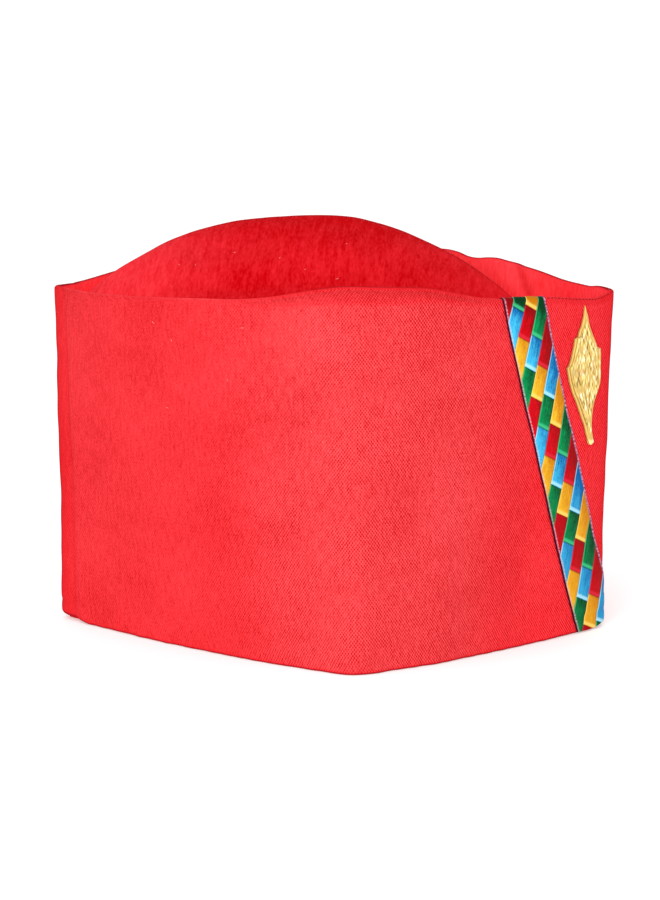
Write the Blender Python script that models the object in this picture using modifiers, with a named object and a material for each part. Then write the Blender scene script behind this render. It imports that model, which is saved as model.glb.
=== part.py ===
"""Himachali cap: a red cloth cap with a tall turned-up cuff, a soft crown, a woven ribbon and a gilt leaf.

The cap stands on its hem, open below, with its long axis along X. The front fold points to +X, and the
ribbon and the leaf are on the side that faces -Y, near that fold. Metres, +Z up, origin on the floor under
the middle of the cap.
"""

import math

import bpy

# The cuff, outside
HEM_HALF_LENGTH = 0.1042
HEM_HALF_WIDTH = 0.0870
RIM_HALF_LENGTH = 0.1065
RIM_HALF_WIDTH = 0.0737
CUFF_HEIGHT = 0.1287
RIM_RISE = 0.0074
FOLD_RADIUS = 0.0060
CUFF_WALL = 0.0024

# The rolled lip along the middle of the near rim
LIP_RISE = 0.0036
LIP_LEAN = 0.0044

# The crown
CROWN_WALL = 0.0016
CROWN_RISE = 0.0293
POCKET_DEPTH = 0.0220
SHOULDER_DROP = 0.0040

# The ribbon, measured along the wall from the front fold
RIBBON_WIDTH = 0.0225
RIBBON_THICKNESS = 0.0010
RIBBON_TOP = 0.0567
RIBBON_FOOT = 0.0057

# The leaf, measured along the wall from the front fold and up from the hem
LEAF_LENGTH = 0.0548
LEAF_WIDTH = 0.0216
LEAF_THICKNESS = 0.0024
LEAF_FOOT = 0.0158
LEAF_SLANT = 0.0064
LEAF_BOTTOM = 0.0723

# Shared fits
CLEARANCE = 0.0003
FLOOR_GAP = 0.0005

# Shares that shape the plan: where the side's soft corner lies, how sharp and how full the sides are
CORNER_SHARE = 0.14
CORNER_SOFTNESS = 0.025
HEM_FULLNESS = 0.24
HEM_POWER = 2.5
RIM_POWER = 2.56
RISE_POWER = 1.8

# Shares of the lip along the rim
LIP_CENTRE = 0.16
LIP_REACH = 0.50

# Mesh counts
SIDE_STEPS = 36
FOLD_STEPS = 6
DOME_STEPS = 7

# Heights of the cuff's rows, as shares of the rim's height
CUFF_LEVELS = (0.0, 0.09, 0.27, 0.46, 0.65, 0.82, 0.94, 1.0)

# The cuff's turned edge: inset as a share of the wall, height over the rim as a share of the wall
CUFF_EDGE = (
    (0.00, 0.25),
    (0.25, 0.50),
    (0.75, 0.50),
    (1.00, 0.25),
)

# The crown's wall follows the cuff's first rows, and then takes this many rows up to its shoulder
SHARED_LEVELS = 5
SHOULDER_STEPS = 3

# The crown's ridge: place along the half length, height as a share of CROWN_RISE over the cuff's ends
RIDGE = (
    (-1.00, -0.30),
    (-0.90, -0.10),
    (-0.79, 0.22),
    (-0.69, 0.44),
    (-0.58, 0.65),
    (-0.47, 0.80),
    (-0.32, 0.92),
    (-0.10, 0.99),
    (0.06, 0.98),
    (0.20, 0.86),
    (0.34, 0.66),
    (0.44, 0.48),
    (0.53, 0.27),
    (0.61, 0.06),
    (0.70, -0.24),
    (0.80, -0.52),
    (0.90, -0.70),
    (1.00, -0.74),
)

# The crown's shoulder: place along the half length, depth below the rim as a share of POCKET_DEPTH
SHOULDER = (
    (-1.00, 0.22),
    (-0.88, 0.18),
    (-0.70, 0.10),
    (-0.50, 0.0),
    (0.35, 0.0),
    (0.55, 0.35),
    (0.70, 0.85),
    (0.82, 1.0),
    (1.00, 1.0),
)

# How far the crown's ridge reaches towards the two ends, and how full its slopes are, 0 being flat slopes
RIDGE_REACH = 0.93
DOME_FULLNESS = 0.5

# The leaf's outline: place along its length from the foot, width as a share of LEAF_WIDTH
LEAF_OUTLINE = (
    (0.00, 0.10),
    (0.08, 0.13),
    (0.15, 0.20),
    (0.25, 0.44),
    (0.37, 0.76),
    (0.50, 0.97),
    (0.60, 1.00),
    (0.70, 0.88),
    (0.80, 0.62),
    (0.90, 0.33),
    (1.00, 0.07),
)

# How much of its relief the leaf keeps where it narrows to nothing
LEAF_THIN_RELIEF = 0.45

# The leaf's relief across its half width: place from the middle, height as a share of LEAF_THICKNESS
LEAF_RELIEF = (
    (-1.00, 0.45),
    (-0.80, 0.86),
    (-0.50, 0.58),
    (-0.22, 0.80),
    (0.00, 1.00),
    (0.22, 0.80),
    (0.50, 0.58),
    (0.80, 0.86),
    (1.00, 0.45),
)


def blend(low, high, share):
    return low + (high - low) * share


def read_table(table, place):
    """Value of a two-column table at a place, on a smooth curve through its rows, flat past its ends."""
    last = len(table) - 1
    place = min(max(place, table[0][0]), table[last][0])
    n = next(n for n in range(1, last + 1) if place <= table[n][0])
    before, start, end, after = (table[min(max(k, 0), last)] for k in (n - 2, n - 1, n, n + 1))
    length = end[0] - start[0]
    share = (place - start[0]) / length
    leave = length * (end[1] - before[1]) / (end[0] - before[0])
    arrive = length * (after[1] - start[1]) / (after[0] - start[0])
    return (blend(start[1], end[1], share * share * (3 - 2 * share))
            + leave * share * (1 - share) ** 2 - arrive * share ** 2 * (1 - share))


def tent(place, softness):
    """One in the middle and zero at the ends, with straight sides and a rounded peak."""
    reach = math.hypot(1, softness) - softness
    return 1 - (math.hypot(place, softness) - softness) / reach


def hem_width(along):
    """Half width of the hem's plan, as a share: straight sides that meet in a soft corner."""
    side = 1 - CORNER_SHARE if along > CORNER_SHARE else 1 + CORNER_SHARE
    place = (along - CORNER_SHARE) / side
    full = 1 - abs(place) ** HEM_POWER
    return blend(tent(place, CORNER_SOFTNESS), full, HEM_FULLNESS)


def rim_width(along):
    """Half width of the rim's plan, as a share: a full boat shape."""
    return 1 - abs(along) ** RIM_POWER


def rim_height(along):
    return CUFF_HEIGHT + RIM_RISE * (1 - abs(along) ** RISE_POWER)


def lip(along):
    """Size of the rolled lip along the near rim, from 0 to 1."""
    place = (along - LIP_CENTRE) / LIP_REACH
    return (1 - place * place) ** 2 if abs(place) < 1 else 0.0


def spine(along, level):
    """The near side's plan before its thickness is added: a curve that the walls run parallel to."""
    half_length = blend(HEM_HALF_LENGTH, RIM_HALF_LENGTH, level) - FOLD_RADIUS
    hem = (HEM_HALF_WIDTH - FOLD_RADIUS) * hem_width(along)
    rim = (RIM_HALF_WIDTH - FOLD_RADIUS) * rim_width(along)
    return half_length * along, -blend(hem, rim, level)


def outward(along, level):
    """Direction out of the near side, as an angle in plan."""
    step = 1e-4
    x0, y0 = spine(max(along - step, -1), level)
    x1, y1 = spine(min(along + step, 1), level)
    return math.atan2(y1 - y0, x1 - x0) - math.pi / 2


def stations():
    """The ring's points: side (-1 near, 1 far), place along the side, and turn round an end fold.

    They start at the front fold's middle and run along the near side, round the back and along the far
    side. A turn of 0 keeps the side's own direction, and a turn of 1 points along X.
    """
    half_fold = FOLD_STEPS // 2
    places = [1 - 2 * n / SIDE_STEPS for n in range(SIDE_STEPS + 1)]
    near = [(-1, 1.0, 1 - n / half_fold) for n in range(half_fold)]
    near += [(-1, place, 0.0) for place in places]
    near += [(-1, -1.0, n / half_fold) for n in range(1, half_fold + 1)]
    far = [(1, along, turn) for side, along, turn in reversed(near[1:-1])]
    return near + far


STATIONS = stations()


def plan_point(station, level, inset):
    """Point of the wall in plan, a level up the wall and an inset in from its outer face."""
    side, along, turn = station
    x, y = spine(along, level)
    angle = outward(along, level)
    ahead = 0.0 if along > 0 else -math.pi
    angle = blend(angle, ahead, turn)
    reach = FOLD_RADIUS - inset
    return x + reach * math.cos(angle), -side * (y + reach * math.sin(angle))


def lip_share(station):
    return lip(station[1]) if station[0] < 0 else 0.0


def cuff_row(level, inset, lift=0.0, over=0.0):
    """One row round the cuff. lift rolls it into the lip, and over raises it past the rim."""
    row = []
    for station in STATIONS:
        rolled = lift * lip_share(station)
        x, y = plan_point(station, level, inset + LIP_LEAN * rolled)
        row.append((x, y, level * rim_height(station[1]) + over + LIP_RISE * rolled))
    return row


def shoulder_height(along):
    depth = max(SHOULDER_DROP, POCKET_DEPTH * read_table(SHOULDER, along))
    return rim_height(along) - depth


def crown_wall_row(level, share):
    """One row of the crown's wall: a level of the cuff, then a share of the way from it to the shoulder.

    The wall lies behind the cuff, a little above the floor, and its shoulder is clear of the rolled lip.
    """
    row = []
    for station in STATIONS:
        top = rim_height(station[1])
        here = blend(level, shoulder_height(station[1]) / top, share)
        inset = CUFF_WALL + CLEARANCE + LIP_LEAN * lip_share(station) * share ** 2
        x, y = plan_point(station, here, inset)
        row.append((x, y, max(here * top, FLOOR_GAP)))
    return row


def crown_dome_row(rise):
    """One row over the crown's top, from the shoulder at rise 0 to the ridge at rise 1."""
    lean = 1 - rise
    climb = rise * (1 + DOME_FULLNESS * (1 - rise))
    row = []
    for x, y, height in crown_wall_row(1.0, 1.0):
        x *= blend(RIDGE_REACH, 1, lean)
        ridge = CUFF_HEIGHT + CROWN_RISE * read_table(RIDGE, x / RIM_HALF_LENGTH)
        row.append((x, y * lean, blend(height, ridge, climb)))
    return row


def stitch_rows(rows, closed):
    """Faces between rows of equal length that run round, and back to the first row if closed."""
    count = len(rows[0])
    faces = []
    for n in range(len(rows) if closed else len(rows) - 1):
        start, end = n * count, (n + 1) % len(rows) * count
        for k in range(count):
            nxt = (k + 1) % count
            faces.append((start + nxt, start + k, end + k, end + nxt))
    return faces


def material(name, colour, roughness, metallic=0.0):
    made = bpy.data.materials.new(name)
    made.use_nodes = True
    shader = made.node_tree.nodes["Principled BSDF"]
    shader.inputs["Base Color"].default_value = (*colour, 1.0)
    shader.inputs["Roughness"].default_value = roughness
    shader.inputs["Metallic"].default_value = metallic
    return made


def add_piece(collection, name, points, faces, surface):
    mesh = bpy.data.meshes.new(name)
    mesh.from_pydata(points, [], faces)
    mesh.validate()
    mesh.shade_smooth()
    mesh.set_sharp_from_angle(angle=math.radians(40))
    mesh.materials.append(surface)
    piece = bpy.data.objects.new(name, mesh)
    collection.objects.link(piece)
    return piece


def solidify(piece, thickness, side):
    """Gives an open surface a wall, inside for -1 and outside for 1."""
    wall = piece.modifiers.new("Wall", "SOLIDIFY")
    wall.thickness = thickness
    wall.offset = side
    wall.use_even_offset = True


def build_cuff(collection, surface):
    """Two layers of cloth as one wall: up its outer face, over the turned edge and down its inner face."""
    rows = [cuff_row(level, 0.0) for level in CUFF_LEVELS]
    rows += [cuff_row(1.0, CUFF_WALL * inset, 1.0, CUFF_WALL * over) for inset, over in CUFF_EDGE]
    rows += [cuff_row(level, CUFF_WALL) for level in reversed(CUFF_LEVELS)]
    points = [point for row in rows for point in row]
    return add_piece(collection, "cuff", points, stitch_rows(rows, closed=True), surface)


def build_crown(collection, surface):
    """A wall behind the cuff and a soft top that closes along a ridge."""
    levels = CUFF_LEVELS[:SHARED_LEVELS]
    rows = [crown_wall_row(level, 0.0) for level in levels]
    rows += [crown_wall_row(levels[-1], n / SHOULDER_STEPS) for n in range(1, SHOULDER_STEPS)]
    rows += [crown_dome_row(n / DOME_STEPS) for n in range(DOME_STEPS)]
    points = [point for row in rows for point in row]
    faces = stitch_rows(rows, closed=False)

    # The last row meets itself along the ridge, so each far point shares the near point's corner
    count = len(STATIONS)
    ridge = crown_dome_row(1.0)[:count // 2 + 1]
    first = len(points)
    points += ridge
    last = first - count
    for k in range(count):
        nxt = (k + 1) % count
        top, top_next = (first + min(j, count - j) for j in (k, nxt))
        faces.append((last + nxt, last + k, top, top_next))
    crown = add_piece(collection, "crown", points, faces, surface)
    solidify(crown, CROWN_WALL, -1)
    return crown


def on_wall(distance, height, out):
    """Point a distance along the cuff from the front fold (past it if negative), a height up and out."""
    levels = [height / rim_height(station[1]) for station in STATIONS]
    face = [plan_point(station, level, 0.0) for station, level in zip(STATIONS, levels)]
    raised = [plan_point(station, level, -out) for station, level in zip(STATIONS, levels)]
    step = 1 if distance >= 0 else -1
    left = abs(distance)
    here = 0
    while True:
        there = here + step
        length = math.dist(face[here], face[there])
        if left <= length:
            share = left / length
            x, y = (blend(a, b, share) for a, b in zip(raised[here], raised[there]))
            return x, y, height
        left -= length
        here = there


def grid_faces(columns, rows, first=0):
    return [(first + r * columns + c, first + r * columns + c + 1, first + (r + 1) * columns + c + 1,
             first + (r + 1) * columns + c) for r in range(rows - 1) for c in range(columns - 1)]


def build_ribbon(collection, surface):
    """A slanting strip on the cuff's near side, from the rim down to the hem and round the front fold."""
    columns, rows = 15, 15
    points = []
    for r in range(rows):
        share = r / (rows - 1)
        middle = blend(RIBBON_FOOT, RIBBON_TOP, share)
        for c in range(columns):
            distance = middle + RIBBON_WIDTH * (c / (columns - 1) - 0.5)
            along = spine_share(distance)
            height = blend(FLOOR_GAP, rim_height(along) - CLEARANCE, share)
            points.append(on_wall(distance, height, CLEARANCE))
    faces = [face[::-1] for face in grid_faces(columns, rows)]
    ribbon = add_piece(collection, "ribbon", points, faces, surface)
    solidify(ribbon, RIBBON_THICKNESS, 1)
    return ribbon


def spine_share(distance):
    """Place along the half length at a distance from the front fold, measured at the rim."""
    x, y, height = on_wall(abs(distance), CUFF_HEIGHT, 0.0)
    return x / RIM_HALF_LENGTH


def build_leaf(collection, surface):
    """A pointed leaf with a raised edge and middle rib, on the cuff between the ribbon and the fold."""
    columns = len(LEAF_RELIEF)
    rows = len(LEAF_OUTLINE)
    back, front = [], []
    for along, width in LEAF_OUTLINE:
        middle = LEAF_FOOT + LEAF_SLANT * along
        height = LEAF_BOTTOM + LEAF_LENGTH * along
        fade = min(1.0, width + LEAF_THIN_RELIEF)
        for across, relief in LEAF_RELIEF:
            distance = middle + across * width * LEAF_WIDTH / 2
            back.append(on_wall(distance, height, CLEARANCE))
            front.append(on_wall(distance, height, CLEARANCE + LEAF_THICKNESS * relief * fade))
    count = columns * rows
    faces = grid_faces(columns, rows)
    faces += [face[::-1] for face in grid_faces(columns, rows, count)]
    edge = list(range(columns))
    edge += [r * columns + columns - 1 for r in range(1, rows)]
    edge += [(rows - 1) * columns + c for c in range(columns - 2, -1, -1)]
    edge += [r * columns for r in range(rows - 2, 0, -1)]
    for here, there in zip(edge, edge[1:] + edge[:1]):
        faces.append((there, here, here + count, there + count))
    return add_piece(collection, "emblem", back + front, faces, surface)


def build_cap():
    for thing in list(bpy.data.objects):
        bpy.data.objects.remove(thing, do_unlink=True)
    collection = bpy.data.collections.new("himachali_cap")
    bpy.context.scene.collection.children.link(collection)
    red_cloth = material("red_cloth", (0.86, 0.03, 0.045), 0.85)
    crown_cloth = material("crown_cloth", (0.62, 0.012, 0.02), 0.9)
    woven_ribbon = material("woven_ribbon", (0.05, 0.30, 0.45), 0.45)
    gilt = material("gilt", (0.80, 0.60, 0.25), 0.35, 1.0)
    build_cuff(collection, red_cloth)
    build_crown(collection, crown_cloth)
    build_ribbon(collection, woven_ribbon)
    build_leaf(collection, gilt)


build_cap()
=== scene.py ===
"""Himachali cap: its looks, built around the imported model, which stays as it is.

The cuff, crown, ribbon and leaf are fine meshes that stand for the model's plain solids, with the same plan
and heights and more detail. Metres, +Z up. The front fold is towards +X, and the ribbon and leaf face -Y.
"""

import math
from collections import namedtuple

import bpy
import numpy as np
from mathutils import Matrix, Vector
from mathutils.bvhtree import BVHTree


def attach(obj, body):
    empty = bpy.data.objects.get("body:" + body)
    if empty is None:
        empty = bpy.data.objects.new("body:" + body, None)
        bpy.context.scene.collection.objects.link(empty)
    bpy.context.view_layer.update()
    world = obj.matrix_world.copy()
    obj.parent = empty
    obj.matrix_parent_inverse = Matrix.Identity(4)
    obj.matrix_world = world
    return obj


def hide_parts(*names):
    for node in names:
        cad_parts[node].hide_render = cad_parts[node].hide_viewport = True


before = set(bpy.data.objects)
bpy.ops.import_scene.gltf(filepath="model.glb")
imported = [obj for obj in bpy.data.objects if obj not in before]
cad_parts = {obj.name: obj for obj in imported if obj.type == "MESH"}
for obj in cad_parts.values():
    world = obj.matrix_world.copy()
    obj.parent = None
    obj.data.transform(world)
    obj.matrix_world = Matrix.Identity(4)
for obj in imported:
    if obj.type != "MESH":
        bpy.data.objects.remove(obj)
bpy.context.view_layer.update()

# The cuff, outside
HEM_HALF_LENGTH = 0.1042
HEM_HALF_WIDTH = 0.0870
RIM_HALF_LENGTH = 0.1065
RIM_HALF_WIDTH = 0.0737
CUFF_HEIGHT = 0.1287
RIM_RISE = 0.0074
FOLD_RADIUS = 0.0060
CUFF_WALL = 0.0024

# The rolled lip along the near rim: its rise, its lean, its height over the pressed line, and its bend
LIP_RISE = 0.0036
LIP_LEAN = 0.0044
LIP_OVER = 0.0003
LIP_ANGLES = (math.radians(24), math.radians(66))

# The crown
CROWN_WALL = 0.0010
CROWN_RISE = 0.0293
POCKET_DEPTH = 0.0220
SHOULDER_DROP = 0.0040

CLEARANCE = 0.0003
FLOOR_GAP = 0.0005

# Shares that shape the plan, the lip and the dome
CORNER_SHARE = 0.14
CORNER_SOFTNESS = 0.025
HEM_FULLNESS = 0.24
HEM_POWER = 2.5
RIM_POWER = 2.56
RISE_POWER = 1.8
LIP_CENTRE = 0.16
LIP_REACH = 0.50
RIDGE_REACH = 0.93
DOME_FULLNESS = 0.5
RIDGE_SOFTNESS = 0.10

# The crown's ridge: place along the half length, share of CROWN_RISE over the cuff's ends
RIDGE = (
    (-1.00, -0.30), (-0.90, -0.10), (-0.79, 0.22), (-0.69, 0.44), (-0.58, 0.65), (-0.47, 0.80),
    (-0.32, 0.92), (-0.10, 0.99), (0.06, 0.98), (0.20, 0.86), (0.34, 0.66), (0.44, 0.48), (0.53, 0.27),
    (0.61, 0.06), (0.70, -0.24), (0.80, -0.52), (0.90, -0.70), (1.00, -0.74),
)

# The crown's shoulder: place along the half length, share of POCKET_DEPTH below the rim
SHOULDER = (
    (-1.00, 0.22), (-0.88, 0.18), (-0.70, 0.10), (-0.50, 0.0), (0.35, 0.0), (0.55, 0.35), (0.70, 0.85),
    (0.82, 1.0), (1.00, 1.0),
)

# Soft dents in the crown: middle (x, y), half size (x, y), depth
CROWN_DENTS = (
    (-0.026, -0.052, 0.036, 0.011, 0.0022),
    (0.030, -0.046, 0.026, 0.009, 0.0010),
    (-0.062, -0.020, 0.016, 0.020, -0.0010),
    (0.012, 0.022, 0.030, 0.012, 0.0012),
    (-0.040, 0.040, 0.022, 0.012, -0.0008),
    (0.044, 0.016, 0.012, 0.022, 0.0012),
)

# The crown's small waves: height, wavelength, seed, stretch along each axis
CROWN_WAVES = (
    (0.00040, 0.030, 21, (1.0, 1.8, 1.0)),
    (0.00016, 0.011, 22, (1.0, 2.4, 1.0)),
)

# The strip of the crown that the near rim shades, as shares of the way up: its end, more behind the lip
SHADE_END = 0.105
SHADE_LIP = 0.090
SHADE_SOFTNESS = 0.020

# How far the far rim stands off its plain curve: place along X, height
FAR_RIM = (
    (-0.107, 0.0001), (-0.100, -0.0010), (-0.088, -0.0007), (-0.075, 0.0), (0.036, 0.0),
    (0.0425, 0.0002), (0.0465, -0.0003), (0.0505, -0.0014), (0.0545, -0.0014), (0.0586, -0.0005),
    (0.0626, 0.0), (0.0666, -0.0003), (0.0706, -0.0008), (0.0786, -0.0012), (0.0865, -0.0020),
    (0.0905, -0.0020), (0.0944, -0.0017), (0.0985, -0.0012), (0.1020, 0.0001), (0.1050, 0.0006),
)

# How far the near rim stands off its plain curve: place along X, height
NEAR_RIM = (
    (-0.107, 0.0), (-0.098, -0.0003), (-0.085, -0.0006), (-0.045, -0.0006), (-0.030, -0.0010),
    (-0.018, -0.0013), (-0.008, -0.0010), (0.002, -0.0004), (0.011, 0.0), (0.020, 0.0), (0.031, 0.0006),
    (0.041, 0.0014), (0.0515, 0.0008), (0.058, 0.0001), (0.064, 0.0), (0.0840, 0.0), (0.0930, -0.0011),
    (0.0985, -0.0017), (0.1015, -0.0017), (0.1045, -0.0006), (0.1065, 0.0006),
)

# How far the hem's two ends lift off the surface: place along X, height
HEM_LIFT = (
    (-0.107, 0.0022), (-0.1015, 0.0016), (-0.0985, 0.0013), (-0.0960, 0.0007), (-0.0920, 0.0),
    (0.0985, 0.0), (0.1015, 0.0004), (0.1040, 0.0014), (0.107, 0.0024),
)

# The hem's lift fades over this share of the height
HEM_LIFT_REACH = 0.25

# The cuff's soft waves: height, wavelength, seed
CUFF_WAVES = (
    (0.00034, 0.075, 11),
    (0.00007, 0.017, 12),
)

# Ridges and hollows of the cuff: place, height, half width. The back ones are measured from its fold
BACK_CREASE = (0.0108, -0.00050, 0.0011)
BACK_RIDGE = (0.0138, 0.00028, 0.0018)
NEAR_BEND = (0.043, 0.00055, 0.0065)
FRONT_FLARE = (HEM_HALF_LENGTH, 0.0007, 0.010)
HEM_SEAM = (0.0060, -0.00016, 0.0012)

# The swollen strip round the back fold: height, and the distances over which it rises. Then the heights
# over which the bend and the flare fade
BACK_SWELL = (0.00030, 0.0095, 0.0060)
NEAR_BEND_TOP = (0.080, 0.060)
FRONT_FLARE_TOP = (0.040, 0.004)

# The slanting fold high on the far side: its place along X at its foot and top, and its heights
FAR_FOLD_DEPTH = 0.0014
FAR_FOLD_HALF_WIDTH = 0.0026
FAR_FOLD_MARK = 0.0013
FAR_FOLD_X = (0.0790, 0.0700)
FAR_FOLD_Z = (0.112, 0.132)
FAR_FOLD_START = (0.100, 0.115)

# How dark the painted shade is on the rim's turned edge and along the far side's fold
RIM_LINE = 1.6
FAR_FOLD_SHADE = 0.7

# Lines of painted shade at the back crease and the two folds: darkness, half width
CREASE_LINE = (0.55, 0.0009)
BACK_LINE = (0.70, 0.0034)
FRONT_LINE = (0.90, 0.0034)

# Bands of painted shade: darkness, and the distances, or shares of the height, over which it comes in
BACK_BAND = (0.85, 0.0135, 0.0050)
FRONT_BAND = (0.50, 0.0170, 0.0040)
HEM_BAND = (1.6, 0.0018, 0.0006)
UNDER_RIM_SHADE = (0.60, 0.9860, 0.9960)

# The puckers at the hem
PUCKER_HEIGHT = 0.00014
PUCKER_WAVELENGTH = 0.0075
PUCKER_TOP = 0.010

# The ribbon's two edges, along the wall from the front fold: at the hem, at the rim, and their bow
RIBBON_FRONT = (-0.0073, 0.0456, 0.0006)
RIBBON_BACK = (0.0175, 0.0668, 0.0015)
RIBBON_THICKNESS = 0.0006
RIBBON_GAP = 0.0002

# The ribbon's corded edges: place across it, height, half width. Its patches swell between them
RIBBON_CORDS = ((0.985, 0.00016, 0.014), (0.012, 0.00012, 0.012))
SWELL_FRONT = (0.02, 0.05)
SWELL_BACK = (0.97, 0.94)

# The ribbon's foot over the hem, how much higher its front corner is cut, and across how much of its width
RIBBON_FOOT = 0.0005
RIBBON_CORNER = 0.0030
RIBBON_CORNER_WIDTH = 0.22

# How far down behind the rim the ribbon's end goes, row by row
RIBBON_TUCK = (0.001, 0.002, 0.003)

# The ribbon's woven stripes slant across it, and are cut into patches by three lanes along it
STRIPE_START = 12.916
STRIPES_ACROSS = 3.245
STRIPE_PITCH = 0.01169
LANE_START = -0.654
LANES_ACROSS = 3.241
LANE_STEP = 0.74
LAST_LANE = 2
PATCH_SWELL = 0.00022

# The leaf, measured along the wall from the front fold and up from the hem
LEAF_LENGTH = 0.0541
LEAF_FOOT = 0.0146
LEAF_SLANT = 0.0074
LEAF_BOTTOM = 0.0732
LEAF_GAP = 0.0003

# The leaf's raised flecks and the pits between them: spacing, scatter, size, strength and lean
FLECK_APART = 0.00170
FLECK_STEP = 0.00165
FLECK_SCATTER = (0.00022, 0.00040)
FLECK_LENGTHS = (0.0011, 0.0019)
FLECK_WIDTHS = (0.00034, 0.00056)
FLECK_STRENGTHS = (0.20, 1.0)
FLECK_LEAN = (-0.45, 0.50)
LEAN_SCATTER = 0.13
LATTICE_REACH = 0.86
PIT_SIZE = (0.0010, 0.00022)
PIT_CHANCE = 0.55
PIT_ASIDE = (0.40, 0.60)
FLECK_HEIGHT = 0.00055
PIT_DEPTH = 0.00035

# The leaf's body: thickness at its edge, gain inwards, where its flecks begin, and the knob on its foot
LEAF_EDGE = 0.0003
LEAF_SWELL = (0.0006, 0.0, 0.0016)
LEAF_THINNEST = 0.0002
FLECK_INSET = (0.0011, 0.0019)
KNOB_PLACE = 0.02
KNOB_REACH = 0.022
KNOB_HEIGHT = 0.0004

# Lines along the leaf's edge: distance in from it, half width, height, painted light and shade, and where
# each begins
LEAF_LINES = (
    (0.00050, 0.00040, 0.00035, 0.12, (-0.0010, 0.0000)),
    (0.00155, 0.00030, 0.00030, 0.22, (0.0040, 0.0060)),
    (0.00112, 0.00018, -0.00035, -0.33, (0.0022, 0.0034)),
    (0.00210, 0.00020, -0.00025, -0.31, (0.0050, 0.0070)),
)

# The leaf's outline: share of its length, reach to the back, reach to the front
LEAF_OUTLINE = (
    (0.000, 0.0006, 0.0006), (0.015, 0.0013, 0.0016), (0.056, 0.0018, 0.0018), (0.095, 0.0024, 0.0015),
    (0.145, 0.0030, 0.0016), (0.200, 0.0043, 0.0022), (0.248, 0.0053, 0.0029), (0.295, 0.0063, 0.0040),
    (0.345, 0.0075, 0.0056), (0.385, 0.0088, 0.0070), (0.425, 0.0096, 0.0084), (0.485, 0.0106, 0.0091),
    (0.530, 0.0110, 0.0093), (0.578, 0.0115, 0.0096), (0.594, 0.0102, 0.0097), (0.630, 0.0091, 0.0098),
    (0.672, 0.0082, 0.0096), (0.688, 0.0079, 0.0075), (0.720, 0.0071, 0.0067), (0.760, 0.0064, 0.0055),
    (0.778, 0.0060, 0.0049), (0.786, 0.0041, 0.0047), (0.833, 0.0030, 0.0033), (0.855, 0.0020, 0.0028),
    (0.885, 0.0014, 0.0022), (0.930, 0.0007, 0.0016), (0.958, 0.0005, 0.0008), (1.000, 0.0001, 0.0001),
)

# Painted shade on the lip, which faces up: how much deeper its cloth is, in red, green and blue
LIP_PAINTED_SHADE = (1.0, 0.60, 0.65, 1.0)

# The twill: distance between its wales across and up the cloth
WALE_ACROSS = 0.00113
WALE_UP = 0.00154

# The camera: distance and height, turn to the right, tilt down, step aside, and lens
CAMERA_DISTANCE = 1.501
CAMERA_HEIGHT = 0.353875
CAMERA_YAW = math.radians(4.002)
CAMERA_TILT = math.radians(10.81)
CAMERA_SIDESTEP = -0.000653
SENSOR_HEIGHT = 24.0
LENS = 106.06

# The studio: white surroundings, the floor's own glow, and two soft lights in watts that face one place
SKY_LIGHT = 0.75
FLOOR_GLOW = 0.35
FRONT_LIGHT = 15.0
TOP_LIGHT = 3.0
LIGHT_TARGET = (0.0, 0.0, 0.07)

# Steps of the fine meshes, and how much their rows bunch at both ends
CUFF_RING = (196, 26)
CUFF_ROWS = 118
LIP_ROWS = 12
EDGE_ROWS = 9
INSIDE_ROWS = 46
CROWN_RING = (150, 16)
CROWN_WALL_ROWS = 22
CROWN_DOME_ROWS = 84
RIBBON_ROWS = 380
RIBBON_COLUMNS = 76
RIM_TURN_ROWS = 12
LEAF_ROWS = 230
LEAF_COLUMNS = 92
ROW_BUNCHING = 0.55

Ring = namedtuple("Ring", "side along turn")
Wall = namedtuple("Wall", "levels points outward distance")


def join(*parts):
    return np.concatenate(parts)


def stack(*parts):
    return np.stack(parts, axis=-1)


def blend(low, high, share):
    return low + (high - low) * share


def smooth(low, high, value):
    """0 below low, 1 above high, and a smooth step between them."""
    share = np.clip((value - low) / (high - low), 0, 1)
    return share * share * (3 - 2 * share)


def bell(value, half_width):
    return np.exp(-(value / half_width) ** 2)


def ridge(value, place, height, half_width):
    return height * bell(value - place, half_width)


def band(value, height, low, high):
    return height * smooth(low, high, value)


def read_table(table, place):
    """Values of a table at an array of places, on a smooth curve through its rows."""
    xs, ys = np.array(table).T
    place = np.clip(place, xs[0], xs[-1])
    n = np.clip(np.searchsorted(xs, place, side="left"), 1, len(xs) - 1)
    before, after = np.maximum(n - 2, 0), np.minimum(n + 1, len(xs) - 1)
    length = xs[n] - xs[n - 1]
    share = (place - xs[n - 1]) / length
    leave = length * (ys[n] - ys[before]) / (xs[n] - xs[before])
    arrive = length * (ys[after] - ys[n - 1]) / (xs[after] - xs[n - 1])
    return (blend(ys[n - 1], ys[n], smooth(0, 1, share))
            + leave * share * (1 - share) ** 2 - arrive * share ** 2 * (1 - share))


def soft_noise(points, wavelength, seed, stretch=(1, 1, 1)):
    """Smooth random waves of about unit size at points in space."""
    rng = np.random.default_rng(seed)
    total = np.zeros(points.shape[:-1])
    count = 28
    for _ in range(count):
        direction = rng.normal(size=3)
        direction /= np.linalg.norm(direction)
        pace = 2 * math.pi / wavelength * rng.uniform(0.6, 1.5)
        total += np.cos(points @ (direction * pace / np.array(stretch)) + rng.uniform(0, 2 * math.pi))
    return total / math.sqrt(count / 2)


def tent(place, softness):
    """One in the middle and zero at the ends, with straight sides and a rounded peak."""
    reach = math.hypot(1, softness) - softness
    return 1 - (np.hypot(place, softness) - softness) / reach


def hem_width(along):
    side = np.where(along > CORNER_SHARE, 1 - CORNER_SHARE, 1 + CORNER_SHARE)
    place = (along - CORNER_SHARE) / side
    return blend(tent(place, CORNER_SOFTNESS), 1 - np.abs(place) ** HEM_POWER, HEM_FULLNESS)


def rim_width(along):
    return 1 - np.abs(along) ** RIM_POWER


def rim_height(along):
    return CUFF_HEIGHT + RIM_RISE * (1 - np.abs(along) ** RISE_POWER)


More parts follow.
